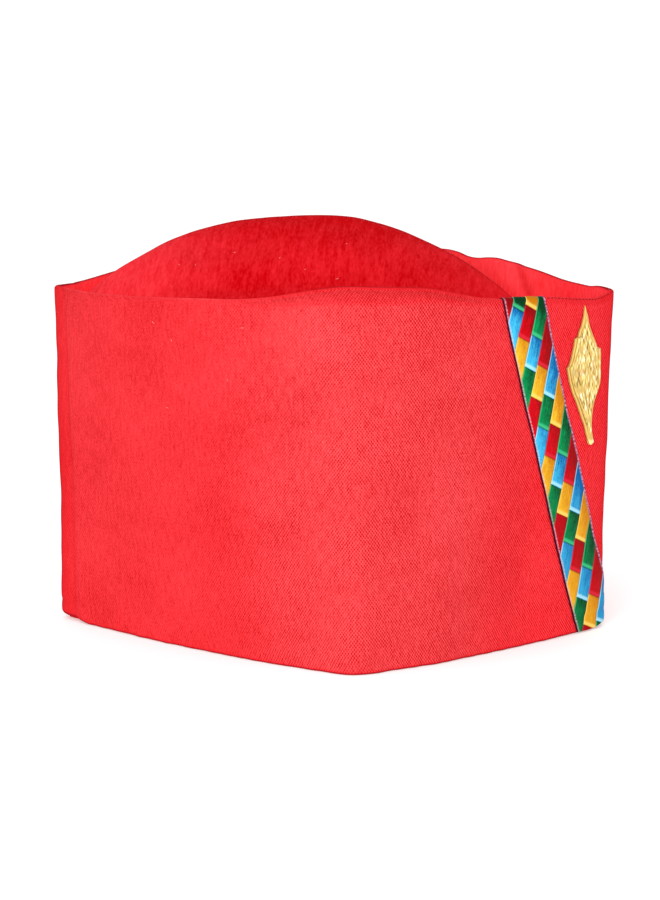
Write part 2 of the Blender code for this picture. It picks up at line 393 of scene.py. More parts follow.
def spine(along, level):
    """The near side's plan before its thickness is added."""
    half_length = blend(HEM_HALF_LENGTH, RIM_HALF_LENGTH, level) - FOLD_RADIUS
    hem = (HEM_HALF_WIDTH - FOLD_RADIUS) * hem_width(along)
    rim = (RIM_HALF_WIDTH - FOLD_RADIUS) * rim_width(along)
    return half_length * along, -blend(hem, rim, level)


def outward(along, level):
    """Direction out of the near side, as an angle in plan."""
    step = 1e-4
    x0, y0 = spine(np.maximum(along - step, -1), level)
    x1, y1 = spine(np.minimum(along + step, 1), level)
    return np.arctan2(y1 - y0, x1 - x0) - math.pi / 2


def ring(side_steps, fold_steps):
    """Stations round the cap, from the front fold's middle along the near side and back on the far."""
    half_fold = fold_steps // 2
    places = np.linspace(1, -1, side_steps + 1)
    turn_out = np.linspace(1, 0, half_fold + 1)[:-1]
    along = join(np.ones(half_fold), places, -np.ones(half_fold))
    turn = join(turn_out, np.zeros(side_steps + 1), turn_out[::-1])
    side = -np.ones(len(along))
    back = slice(-2, 0, -1)
    return Ring(join(side, -side[back]), join(along, along[back]),
                join(turn, turn[back]))


def plan_angle(stations, level):
    ahead = np.where(stations.along > 0, 0.0, -math.pi)
    return blend(outward(stations.along, level), ahead, stations.turn)


def plan(stations, level, inset):
    """Points of the wall in plan, a level up the wall and an inset in from its outer face."""
    x, y = spine(stations.along, level)
    angle = plan_angle(stations, level)
    reach = FOLD_RADIUS - inset
    return x + reach * np.cos(angle), -stations.side * (y + reach * np.sin(angle))


def lip_share(stations):
    """Size of the rolled lip along the near rim, from 0 to 1."""
    place = (stations.along - LIP_CENTRE) / LIP_REACH
    return np.where((np.abs(place) < 1) & (stations.side < 0), (1 - place * place) ** 2, 0.0)


def rim_wave(stations):
    """The rim's small waves, as heights. The near side's turn into the far side's round the back fold."""
    place = plan(stations, 1.0, 0.0)[0]
    far = read_table(FAR_RIM, place)
    near = read_table(NEAR_RIM, place)
    near = np.where(place > 0, near, blend(near, far, smooth(0.0, 1.0, stations.turn)))
    return np.where(stations.side > 0, far, near)


def ring_distance(x, y):
    """Distance round each row from its first point, with the whole way round as a last column."""
    step = np.hypot(np.roll(x, -1, axis=-1) - x, np.roll(y, -1, axis=-1) - y)
    start = np.zeros(step.shape[:-1] + (1,))
    return np.concatenate([start, np.cumsum(step, axis=-1)], axis=-1)


def fold_distances(x, y):
    """Distance of each point along the cloth from the middle of the back fold and of the front fold."""
    around = ring_distance(x, y)
    half_way = around[..., -1:] / 2
    from_back = np.abs(around[..., :-1] - half_way)
    return from_back, half_way - from_back


def far_fold(x, z, half_width):
    """The slanting fold high on the far side, from 0 to 1."""
    foot, top = FAR_FOLD_Z
    middle = blend(*FAR_FOLD_X, np.clip((z - foot) / (top - foot), 0, 1))
    return bell(x - middle, half_width) * smooth(*FAR_FOLD_START, z)


def cloth_relief(stations, level):
    """How far the cloth stands out of its plain form: soft waves, creases and a puckered hem."""
    level = np.broadcast_to(level, np.broadcast(level, stations.along).shape)
    x, y = plan(stations, level, 0.0)
    z = level * rim_height(stations.along)
    points = stack(x, y, z)
    near = stations.side < 0
    push = sum(height * soft_noise(points, wavelength, seed) for height, wavelength, seed in CUFF_WAVES)

    from_back, _ = fold_distances(x, y)
    push += ridge(from_back, *BACK_CREASE)
    push += ridge(from_back, *BACK_RIDGE)
    push += band(from_back, *BACK_SWELL)
    push += np.where(near, ridge(x, *NEAR_BEND) * smooth(*NEAR_BEND_TOP, z), 0.0)
    push += ridge(x, *FRONT_FLARE) * smooth(*FRONT_FLARE_TOP, z)
    push += np.where(near, 0.0, FAR_FOLD_DEPTH * far_fold(x, z, FAR_FOLD_HALF_WIDTH))
    push += PUCKER_HEIGHT * soft_noise(points, PUCKER_WAVELENGTH, 13) * smooth(PUCKER_TOP, 0.0, z)
    return push + ridge(z, *HEM_SEAM)


def cuff_rows(stations, level, inset, over=0.0, lean=0.0, rise=0.0):
    """Rows of the cuff's surface. lean and rise are the lip's share inwards and upwards."""
    level, inset, over, lean, rise = (np.reshape(v, (-1, 1)) for v in (level, inset, over, lean, rise))
    rolled = lip_share(stations)
    inwards = inset + LIP_LEAN * lean * rolled - cloth_relief(stations, level)
    x, y = plan(stations, level, inwards)
    top = rim_height(stations.along) + rim_wave(stations)
    lift = read_table(HEM_LIFT, x) * np.maximum(1 - level / HEM_LIFT_REACH, 0) ** 2
    z = level * top + over + LIP_RISE * rise * rolled + lift
    return np.stack(np.broadcast_arrays(x, y, z), axis=-1)


def lip_curve(share):
    """The lip's shares inwards and upwards. It starts steep and leans more towards its edge."""
    start, end = LIP_ANGLES
    angle = blend(start, end, share)
    lean = (math.cos(start) - np.cos(angle)) / (math.cos(start) - math.cos(end))
    rise = (np.sin(angle) - math.sin(start)) / (math.sin(end) - math.sin(start))
    return lean, rise


def row_levels(count):
    """Shares from 0 to 1 that lie closer together near both ends."""
    share = np.linspace(0, 1, count)
    return share - ROW_BUNCHING * np.sin(2 * math.pi * share) / (2 * math.pi)


def cuff_wall(stations):
    """The outer face alone, as a table that the ribbon and the leaf are laid on."""
    levels = row_levels(CUFF_ROWS)
    points = cuff_rows(stations, levels, 0.0)
    x, y = points[..., 0], points[..., 1]
    angle = plan_angle(stations, levels[:, None])
    out = stack(np.cos(angle), -stations.side * np.sin(angle), np.zeros_like(angle))
    return Wall(levels, points, out, ring_distance(x, y))


def on_wall(wall, distance, level, out):
    """Points on the cuff at one level, at distances from the front fold (negative on the far side)."""
    row = np.clip(np.interp(level, wall.levels, np.arange(len(wall.levels))), 0, len(wall.levels) - 1.001)
    first = int(row)
    share = row - first
    points, normals, around = (blend(part[first], part[first + 1], share)
                               for part in (wall.points, wall.outward, wall.distance))
    total = around[-1]
    scale = join(around[:-1] - total, around[:-1], [total])
    values = np.concatenate([points, normals], axis=1)
    values = join(values, values, values[:1])
    point, normal = (np.stack([np.interp(distance, scale, values[:, c]) for c in cs], axis=-1)
                     for cs in ((0, 1, 2), (3, 4, 5)))
    return point + normal * np.reshape(out, (-1, 1))


def grid_faces(rows, columns, closed):
    """Quads of a grid of points, row by row, and the grid places of their corners."""
    across = columns if closed else columns - 1
    r, c = np.meshgrid(np.arange(rows - 1), np.arange(across), indexing="ij")
    corners_r = stack(r, r, r + 1, r + 1).reshape(-1, 4)
    corners_c = stack(c + 1, c, c, c + 1).reshape(-1, 4)
    faces = corners_r * columns + corners_c % columns
    return faces, corners_r, corners_c


def add_object(name, data):
    piece = bpy.data.objects.new(name, data)
    bpy.context.scene.collection.objects.link(piece)
    return piece


def add_mesh(name, points, faces, surface, uvs=None):
    """A smooth mesh object from points and faces, with a UV for each face corner."""
    mesh = bpy.data.meshes.new(name)
    mesh.from_pydata(points, [], faces)
    if uvs is not None:
        layer = mesh.uv_layers.new(name="cloth")
        layer.data.foreach_set("uv", np.asarray(uvs, dtype=np.float32).reshape(-1))
    mesh.shade_smooth()
    mesh.materials.append(surface)
    return add_object(name, mesh)


def mark(piece, name, values):
    """Give each point of a piece a number that its material reads."""
    layer = piece.data.attributes.new(name, "FLOAT", "POINT")
    layer.data.foreach_set("value", np.asarray(values, dtype=np.float32).reshape(-1))


def up_the_cloth(grid):
    """Distance up each column of a grid of points, from its first row."""
    walked = np.linalg.norm(np.diff(grid, axis=0), axis=-1)
    return join(np.zeros((1, grid.shape[1])), np.cumsum(walked, axis=0))


def ring_mesh(name, grid, heights, surface, wrap_rows=False):
    """A mesh from rows round the cap, with the distance round and a height along the cloth as its UV."""
    columns = grid.shape[1]
    around = ring_distance(grid[..., 0], grid[..., 1])
    if wrap_rows:
        around = join(around, around[:1])
        heights = join(heights, heights[-1:] + (heights[-1:] - heights[-2:-1]))
    faces, corners_r, corners_c = grid_faces(len(around), columns, closed=True)
    total = around[:, -1:][corners_r[:, 0], 0]
    far = corners_c.min(axis=1) >= columns // 2
    u = around[corners_r, corners_c] - np.where(far, total, 0.0)[:, None]
    v = heights[corners_r, corners_c % columns]
    points = grid.reshape(-1, 3)
    return add_mesh(name, points.tolist(), (faces % len(points)).tolist(), surface, stack(u, v))


def by_row(parts, values):
    """A column of values for a skin's rows, from a number or an array for each of its parts."""
    return join(*(np.broadcast_to(value, len(part)) for part, value in zip(parts, values)))[:, None]


def build_cuff(stations, surface):
    """The cuff: hem, outer face, rolled lip, turned edge and inner face as one closed skin."""
    half = CUFF_WALL / 2
    turn = np.linspace(0, math.pi, EDGE_ROWS)
    hem_turn, edge_turn = turn[1:-1], turn[1:]
    levels = row_levels(CUFF_ROWS)
    foot = half / CUFF_HEIGHT
    inner_levels = np.linspace(1.0, foot, INSIDE_ROWS)[1:]
    lean, rise = lip_curve(np.linspace(0, 1, LIP_ROWS + 1)[1:])
    over = np.linspace(0, LIP_OVER, LIP_ROWS + 1)[1:]
    fall = smooth(0.90, 1.0, inner_levels)

    hem = cuff_rows(stations, 0.0, half * (1 + np.cos(hem_turn)), half * (1 - np.sin(hem_turn)))
    outer = cuff_rows(stations, blend(foot, 1.0, levels), 0.0)
    lip = cuff_rows(stations, 1.0, 0.0, over, lean, rise)
    edge_over = LIP_OVER + half * np.sin(edge_turn)
    edge = cuff_rows(stations, 1.0, half * (1 - np.cos(edge_turn)), edge_over, 1.0, 1.0)
    inner = cuff_rows(stations, inner_levels, CUFF_WALL, 0.0, fall, fall)
    parts = (hem, outer, lip, edge, inner)
    grid = join(*parts)
    heights = up_the_cloth(grid) - half * math.pi / 2
    piece = ring_mesh("cuff_cloth", grid, heights, surface, wrap_rows=True)

    # What the cloth's painted light and shade follow: the rolled lip, the inner face, and the painted shade
    # at folds and rim
    lip_size = np.sqrt(lip_share(stations))
    inside = by_row(parts, (0, 0, 0, smooth(0.0, 0.5, np.linspace(0, 1, len(edge))), 1))
    rim_line = by_row(parts, (0, 0, 0, np.sin(edge_turn), 0))
    upper = by_row(parts, (0, levels, 1, 1, 0))
    outside = painted_shade_outside(stations, grid, heights, upper, lip_size)
    outside = outside + RIM_LINE * np.where(stations.side > 0, 1.0, lip_size) * rim_line
    fold = FAR_FOLD_SHADE * far_fold(grid[..., 0], grid[..., 2], FAR_FOLD_MARK) * (stations.side > 0)
    mark(piece, "rolled", by_row(parts, (0, smooth(0.985, 1.0, levels), 1, 1, 0)) * lip_size)
    mark(piece, "inside", np.broadcast_to(inside, heights.shape))
    mark(piece, "painted_shade", blend(outside, fold, np.minimum(inside, 1 - rim_line)))
    return piece


def painted_shade_outside(stations, grid, heights, upper, lip_size):
    """Painted shade on the outer face: at both folds, the crease, the hem, and a shadow line under the near
    rim.
    """
    from_back, from_front = fold_distances(grid[..., 0], grid[..., 1])
    painted_shade = band(from_back, *BACK_BAND) + band(from_front, *FRONT_BAND)
    painted_shade = painted_shade + ridge(from_back, BACK_CREASE[0], *CREASE_LINE)
    painted_shade = painted_shade + ridge(from_back, 0, *BACK_LINE) + ridge(from_front, 0, *FRONT_LINE)
    painted_shade = painted_shade + band(heights, *HEM_BAND)
    rim_shade_side = (stations.side < 0) & (stations.along > 0)
    under_rim = band(upper, *UNDER_RIM_SHADE) * rim_shade_side * (1 - lip_size)
    return np.maximum(painted_shade, np.minimum(painted_shade + under_rim, 1.0))


def crown_wall_rows(stations, shares):
    """Rows of the crown's wall behind the cuff, by their share of the way to its shoulder."""
    top = rim_height(stations.along)
    depth = np.maximum(SHOULDER_DROP, POCKET_DEPTH * read_table(SHOULDER, stations.along))
    level = np.reshape(shares, (-1, 1)) * (top - depth) / top
    late = smooth(0.60, 1.0, np.reshape(shares, (-1, 1)))
    inset = CUFF_WALL + CLEARANCE + LIP_LEAN * lip_share(stations) * late
    inset = inset - cloth_relief(stations, level) * (1 - 0.6 * late)
    x, y = plan(stations, level, inset)
    return stack(x, y, np.maximum(level * top, FLOOR_GAP))


def build_crown(stations, surface):
    """The crown: a wall behind the cuff, a shoulder, and slopes that meet in a soft ridge."""
    wall = crown_wall_rows(stations, np.linspace(0, 1, CROWN_WALL_ROWS))
    shoulder = wall[-1]
    rise = row_levels(CROWN_DOME_ROWS)[1:, None]
    lean = 1 - rise
    soft = 1 - tent(lean, RIDGE_SOFTNESS)
    climb = 1 - (1 - DOME_FULLNESS) * soft - DOME_FULLNESS * lean ** 2
    x = shoulder[:, 0] * blend(RIDGE_REACH, 1, lean)
    y = shoulder[:, 1] * lean
    crest = CUFF_HEIGHT + CROWN_RISE * read_table(RIDGE, x / RIM_HALF_LENGTH)
    z = blend(shoulder[:, 2], crest, climb)
    dome = stack(x, y, z)

    # Soft dents and small folds, none at the shoulder
    free = smooth(0.0, 0.25, rise) * smooth(1.0, 0.75, rise)
    for at_x, at_y, reach_x, reach_y, depth in CROWN_DENTS:
        dome[..., 2] -= free * depth * np.exp(-((x - at_x) / reach_x) ** 2 - ((y - at_y) / reach_y) ** 2)
    for height, wavelength, seed, stretch in CROWN_WAVES:
        dome[..., 2] += free * height * soft_noise(dome, wavelength, seed, stretch)

    # The last row meets itself along the ridge
    mirror = -np.arange(dome.shape[1]) % dome.shape[1]
    dome[-1] = (dome[-1] + dome[-1][mirror]) / 2
    grid = join(wall, dome)
    piece = ring_mesh("crown_cloth", grid, up_the_cloth(grid), surface)

    # Where the near rim and its lip shade the crown behind them
    end = SHADE_END + SHADE_LIP * lip_share(stations)
    shares = by_row((wall, dome), (0, rise[:, 0]))
    mark(piece, "tucked", smooth(end + SHADE_SOFTNESS, end - SHADE_SOFTNESS, shares) * (stations.side < 0))
    weld = piece.modifiers.new("Ridge", "WELD")
    weld.merge_threshold = 0.00001
    skin = piece.modifiers.new("Skin", "SOLIDIFY")
    skin.thickness = CROWN_WALL
    skin.offset = -1
    return apply_modifiers(piece)


def apply_modifiers(piece):
    graph = bpy.context.evaluated_depsgraph_get()
    mesh = bpy.data.meshes.new_from_object(piece.evaluated_get(graph))
    mesh.name = piece.name
    piece.modifiers.clear()
    piece.data = mesh
    return piece


def closed_slab(name, front, back, uvs_front, surface):
    """A closed thin piece from front and back grids of one size, with a UV for each point."""
    rows, columns = front.shape[:2]
    faces, _, _ = grid_faces(rows, columns, closed=False)
    count = rows * columns
    index = np.arange(count).reshape(rows, columns)
    rim = join(index[0], index[1:, -1], index[-1, -2::-1], index[-2:0:-1, 0])
    ahead = np.roll(rim, -1)
    sides = stack(ahead, rim, rim + count, ahead + count)
    quads = join(faces[:, ::-1], faces + count, sides[:, ::-1])
    points = join(front.reshape(-1, 3), back.reshape(-1, 3))
    flat = np.concatenate([uvs_front.reshape(-1, 2)] * 2)
    return add_mesh(name, points.tolist(), quads.tolist(), surface, flat[quads])


def ribbon_distance(height_share, across):
    """Distance from the front fold, by shares of the cuff's height and of the ribbon's width."""
    front, back = (blend(foot, top, height_share) + bow * 4 * height_share * (1 - height_share)
                   for foot, top, bow in (RIBBON_FRONT, RIBBON_BACK))
    return blend(front, back, across)


def weave_places(across, height):
    """Place in the ribbon's weave: across a stripe and along a patch, each from 0 to 1."""
    stripe = STRIPE_START - STRIPES_ACROSS * across - height / STRIPE_PITCH
    over = stripe - np.floor(stripe)
    lane = LANE_START + LANES_ACROSS * across + LANE_STEP * over
    return over, lane - np.clip(np.floor(lane), 0, LAST_LANE)


def ribbon_relief(across, height):
    """Thickness of the ribbon: satin patches that swell, and two corded edges."""
    over, ahead = weave_places(across, height)
    swell = (1 - np.abs(2 * over - 1) ** 5) * (1 - np.abs(np.clip(2 * ahead - 1, -1, 1)) ** 9)
    edge = sum(ridge(across, *cord) for cord in RIBBON_CORDS)
    inside = smooth(*SWELL_FRONT, across) * smooth(*SWELL_BACK, across)
    return RIBBON_THICKNESS + PATCH_SWELL * swell * inside + edge


def build_ribbon(wall, surface):
    """A slanting ribbon on the near side, from the hem and round the front fold up and over the rim."""
    across = np.linspace(0, 1, RIBBON_COLUMNS)
    corner = 1 - np.sqrt(1 - smooth(RIBBON_CORNER_WIDTH, 0.0, across) ** 2)
    foot = RIBBON_FOOT + RIBBON_CORNER * corner
    front, back, uvs = [], [], []
    for share in np.linspace(0, 1, RIBBON_ROWS):
        level = blend(foot / CUFF_HEIGHT, 1.0, share)
        distance = ribbon_distance(level, across)
        under = on_wall_each(wall, distance, level, RIBBON_GAP)
        height = under[:, 2]
        front.append(on_wall_each(wall, distance, level, ribbon_relief(across, height)))
        back.append(under)
        uvs.append(stack(across, height))
    ends = ribbon_over_rim(front[-1], back[-1], uvs[-1])
    front, back, uvs = (np.array(rows + end) for rows, end in zip((front, back, uvs), ends))
    return closed_slab("woven_ribbon", front, back, uvs, surface)


def on_wall_each(wall, distance, level, out):
    """Points on the cuff with a distance, a level and a height over the cloth for each."""
    low = on_wall(wall, distance, level.min(), out)
    high = on_wall(wall, distance, max(level.max(), level.min() + 1e-6), out)
    share = (level - level.min()) / max(level.max() - level.min(), 1e-6)
    return blend(low, high, share[:, None])


def ribbon_over_rim(front, back, uvs):
    """Rows of the ribbon's end, turned over the cuff's edge and down behind it."""
    inward = back - front
    thick = np.linalg.norm(inward, axis=-1, keepdims=True)
    inward = inward / thick
    up = np.array([0, 0, 1.0])
    half = CUFF_WALL / 2
    centre = back + inward * (half + RIBBON_GAP)
    fronts, backs, places = [], [], []
    for angle in np.linspace(0, math.pi, RIM_TURN_ROWS + 1)[1:]:
        for rows, reach in ((fronts, half + RIBBON_GAP + thick), (backs, half + RIBBON_GAP)):
            rows.append(centre - inward * reach * math.cos(angle) + up * reach * math.sin(angle))
        places.append(uvs + np.array([0, half * angle]))
    front_end, back_end, place_end = fronts[-1], backs[-1], places[-1]
    for drop in RIBBON_TUCK:
        fronts.append(front_end - up * drop)
        backs.append(back_end - up * drop)
        places.append(place_end + np.array([0, drop]))
    return fronts, backs, places


def leaf_reach(place, side):
    """Reach of the leaf from its middle line, to the back where side is over zero, else to the front."""
    places, back, front = np.array(LEAF_OUTLINE).T
    return np.where(side > 0, np.interp(place, places, back), np.interp(place, places, front))


def leaf_threads(x, y):
    """Raised flecks in a loose lattice that fans out with the leaf, and pits between them."""
    rng = np.random.default_rng(31)
    threads, pits = np.zeros_like(x), np.zeros_like(x)
    for row in range(4, int(LEAF_LENGTH / FLECK_STEP) - 1):
        for column in range(-7, 8):
            at_x = (column + 0.5 * (row % 2)) * FLECK_APART + rng.normal(0, FLECK_SCATTER[0])
            at_y = row * FLECK_STEP + rng.normal(0, FLECK_SCATTER[1])
            along = at_y / LEAF_LENGTH
            across = at_x / float(leaf_reach(along, at_x))
            if abs(across) > LATTICE_REACH:
                continue
            lean = across * blend(*FLECK_LEAN, along) + rng.normal(0, LEAN_SCATTER)
            length, width = rng.uniform(*FLECK_LENGTHS), rng.uniform(*FLECK_WIDTHS)
            strength = rng.uniform(*FLECK_STRENGTHS)
            threads = np.maximum(threads, strength * mound(x - at_x, y - at_y, lean, length, width))
            if rng.uniform() < PIT_CHANCE:
                aside = FLECK_APART * rng.uniform(*PIT_ASIDE)
                pits = np.maximum(pits, mound(x - at_x - aside, y - at_y, lean, *PIT_SIZE))
    return threads, pits


def mound(x, y, lean, length, width):
    """A long soft mound of height one, leaning from upright."""
    run = y * math.cos(lean) - x * math.sin(lean)
    off = x * math.cos(lean) + y * math.sin(lean)
    return np.exp(-(run / length) ** 2 - (off / width) ** 2)


def leaf_relief(across, along, reach):
    """The leaf's thickness, and its painted light and shade, from 0 in the hollows to 1 on the raised
    threads.
    """
    from_edge = (1 - np.abs(across)) * reach
    threads, pits = leaf_threads(across * reach, along * LEAF_LENGTH)
    inside = smooth(*FLECK_INSET, from_edge)
    knob = bell(along - KNOB_PLACE, KNOB_REACH)
    height = LEAF_EDGE + band(from_edge, *LEAF_SWELL) + KNOB_HEIGHT * knob
    height += (FLECK_HEIGHT * threads - PIT_DEPTH * pits) * inside
    shade = 0.33 + 0.5 * knob + 0.85 * inside * (threads - pits * (1 - 0.7 * threads))
    for place, half_width, rise, tone, begins in LEAF_LINES:
        line = bell(from_edge - place, half_width) * smooth(*begins, reach)
        height += rise * line
        shade += tone * line
    return np.maximum(height, LEAF_THINNEST), np.clip(shade, 0, 1)


def build_leaf(wall, surface):
    """The gilt leaf: a pointed bud with a raised double edge, bent to the cuff."""
    alongs = np.linspace(0, 1, LEAF_ROWS)
    across = np.linspace(-1, 1, LEAF_COLUMNS)
    grid_along, grid_across = np.meshgrid(alongs, across, indexing="ij")
    reach = leaf_reach(grid_along, grid_across)
    thick, shade = leaf_relief(grid_across, grid_along, reach)
    fronts, backs = [], []
    for n, along in enumerate(alongs):
        distance = LEAF_FOOT + LEAF_SLANT * along + across * reach[n]
        height = LEAF_BOTTOM + LEAF_LENGTH * along
        level = height / CUFF_HEIGHT
        level = level * height / on_wall(wall, distance, level, 0.0)[:, 2]
        fronts.append(on_wall_each(wall, distance, level, LEAF_GAP + thick[n]))
        backs.append(on_wall_each(wall, distance, level, LEAF_GAP))
    uvs = stack(grid_across, grid_along)
    piece = closed_slab("gilt_leaf", np.array(fronts), np.array(backs), uvs, surface)
    # The leaf's painted light and shade, dim on its back
    mark(piece, "relief_light_and_shade", join(shade.reshape(-1), np.full(shade.size, 0.2)))
    return piece


def node_maths(operation, swapped=False):
    """A method of Value that adds a node for one operation."""
    def work(self, other):
        return self.graph.math(operation, *((other, self) if swapped else (self, other)))
    return work


class Value:
    """A number that a material's nodes work out. Its sums and products add nodes by themselves."""

    def __init__(self, graph, socket):
        self.graph, self.socket = graph, socket

    __add__ = node_maths("ADD")
    __radd__ = node_maths("ADD", swapped=True)
    __sub__ = node_maths("SUBTRACT")
    __rsub__ = node_maths("SUBTRACT", swapped=True)
    __mul__ = node_maths("MULTIPLY")
    __rmul__ = node_maths("MULTIPLY", swapped=True)
    __truediv__ = node_maths("DIVIDE")


class Graph:
    """A material whose nodes are added and linked a line at a time."""

    def __init__(self, name):
        self.material = bpy.data.materials.new(name)
        self.material.use_nodes = True
        self.tree = self.material.node_tree
        self.shader = self.tree.nodes["Principled BSDF"]

    def feed(self, socket, value):
        if isinstance(value, Value):
            value = value.socket
        if isinstance(value, bpy.types.NodeSocket):
            self.tree.links.new(value, socket)
        else:
            socket.default_value = value

    def add(self, kind, inputs=(), **settings):
        node = self.tree.nodes.new("ShaderNode" + kind)
        for name, value in settings.items():
            setattr(node, name, value)
        for key, value in dict(inputs).items():
            self.feed(node.inputs[key], value)
        return node

    def math(self, operation, *values):
        node = self.add("Math", enumerate(values), operation=operation)
        return Value(self, node.outputs[0])

    def sine(self, turns):
        return self.math("SINE", turns * (2 * math.pi))

    def step(self, value, low, high, to_low=0.0, to_high=1.0):
        """A smooth step of a value between low and high."""
        limits = enumerate((value, low, high, to_low, to_high))
        node = self.add("MapRange", limits, interpolation_type="SMOOTHSTEP")
        return Value(self, node.outputs[0])

    def noise(self, vector, scale, detail=2.0, roughness=0.5):
        inputs = {"Vector": vector, "Scale": scale, "Detail": detail, "Roughness": roughness}
        return Value(self, self.add("TexNoise", inputs).outputs["Fac"])

    def chance(self, x, y):
        """A random number for each pair of whole numbers."""
        node = self.add("TexWhiteNoise", {"Vector": self.vector(x, y)}, noise_dimensions="2D")
        return Value(self, node.outputs["Value"])

    def vector(self, x, y, z=0.0):
        return self.add("CombineXYZ", {"X": x, "Y": y, "Z": z}).outputs[0]

    def split(self, vector):
        outputs = self.add("SeparateXYZ", {0: vector}).outputs
        return [Value(self, socket) for socket in outputs]

    def uv(self):
        return self.split(self.add("UVMap", uv_map="cloth").outputs[0])[:2]

    def place(self):
        return self.split(self.add("TexCoord").outputs["Object"])

    def attribute(self, name):
        return Value(self, self.add("Attribute", attribute_name=name).outputs["Fac"])

    def mix(self, share, low, high, mode="MIX"):
        """A mix of two colours."""
        node = self.add("Mix", {0: share}, data_type="RGBA", blend_type=mode)
        colours = [socket for socket in node.inputs if socket.type == "RGBA"]
        self.feed(colours[0], low)
        self.feed(colours[1], high)
        return next(socket for socket in node.outputs if socket.type == "RGBA")

    def lay(self, base, *layers):
        """Colours laid over a base in turn, each with the share that it covers."""
        for share, tint in layers:
            base = self.mix(share, base, tint)
        return base

    def bump(self, height, distance, strength):
        inputs = {"Height": height, "Distance": distance, "Strength": strength}
        return self.add("Bump", inputs).outputs[0]

    def finish(self, **sockets):
        for name, value in sockets.items():
            self.feed(self.shader.inputs[name.replace("_", " ")], value)
        return self.material


def colour(red, green, blue):
    """A colour from its 0 to 255 values on a screen."""
    parts = [v / 255 for v in (red, green, blue)]
    return (*[p / 12.92 if p <= 0.04045 else ((p + 0.055) / 1.055) ** 2.4 for p in parts], 1.0)


# The ribbon's yellow, green, red and blue: deep, pale and bright
SATINS = (
    (colour(198, 118, 4), colour(250, 202, 50), colour(250, 216, 110)),
    (colour(0, 58, 26), colour(0, 164, 90), colour(64, 196, 136)),
    (colour(142, 0, 6), colour(228, 0, 22), colour(216, 38, 58)),
    (colour(0, 92, 158), colour(74, 206, 250), colour(176, 234, 246)),
)


def twill(g, across, up, drift):
    """Waves over one direction of wale, broken up along it."""
    over, along = across + up, across - up
    yarn = g.noise(g.vector(over, along * 0.8), 1.0, 2.0, 0.6)
    return g.sine(over + drift) * 0.40 + g.sine(along) * 0.32 + (yarn - 0.5) * 0.9


def cuff_material(corner):
    """Red cotton twill. Its wales turn to lean the other way behind the near side's soft corner."""
    g = Graph("red_twill")
    u, v = g.uv()
    place = g.vector(u, v)
    rolled, inside, painted_shade = (g.attribute(name) for name in ("rolled", "inside", "painted_shade"))

    # The wales: clear in front of the corner, fainter behind it, and softer in the painted highlight across
    # the middle
    ahead, up = (corner - u) / WALE_ACROSS, v / WALE_UP
    drift = g.noise(place, 90.0) * 0.5
    behind = g.step(u, corner - 0.001, corner + 0.003)
    weave = blend(twill(g, ahead, up, drift), twill(g, ahead * -1.0, up, drift), behind)
    painted_highlight = g.step(u, 0.058, 0.084) * g.step(u, 0.185, 0.140)
    faint = blend(1.0, g.step(v, 0.050, 0.095, 0.80, 0.36), g.step(u, corner - 0.004, corner + 0.030))
    clear = faint * g.step(u, 0.200, 0.150, 0.35, 1.0) * blend(1.0, 0.78, painted_highlight)
    weave = weave * clear * g.step(g.noise(place, 55.0), 0.32, 0.62, 0.60, 1.0)
    slub = g.noise(g.vector(u * 900.0, v * 200.0), 1.0, 3.0, 0.6)
    grain = g.noise(place, 1250.0, 2.0, 0.6)
    cloud = g.noise(place, 26.0, 3.0, 0.55)
    light = weave + (slub - 0.5) * 0.8 + (grain - 0.5) * 0.9 + (cloud - 0.5) * 0.55

    # Painted highlight across the middle, where the cloth faces the front light; brighter, with more
    # contrast, near the front
    near_front = g.step(u, 0.058, 0.040) * g.step(u, -0.090, -0.030)
    light = light * (near_front * 0.2 + 1.0) + 0.47
    dark = g.mix(near_front, colour(178, 0, 8), colour(200, 0, 8))
    pale = g.mix(painted_highlight, g.mix(near_front, colour(248, 64, 71), colour(255, 66, 74)), colour(244, 82, 87))
    base = g.mix(light, dark, pale)

    # Painted shade on the lip, painted light on the inner face, and painted shade at the folds, crease, hem
    # and rim
    base = g.mix(rolled, base, LIP_PAINTED_SHADE, "MULTIPLY")
    nap = (slub - 0.5) * 1.5 + (cloud - 0.5) * 1.2 + 0.5
    base = g.lay(base, (inside, g.mix(nap, colour(244, 30, 40), colour(255, 82, 90))),
                 (painted_shade * 0.60, colour(206, 10, 22)),
                 (g.step(painted_shade, 1.00, 1.60, 0.0, 0.60), colour(104, 16, 24)))
    return g.finish(Base_Color=base, Roughness=0.85, Normal=g.bump(weave + slub, 0.00010, 0.5),
                    Specular_IOR_Level=0.06)


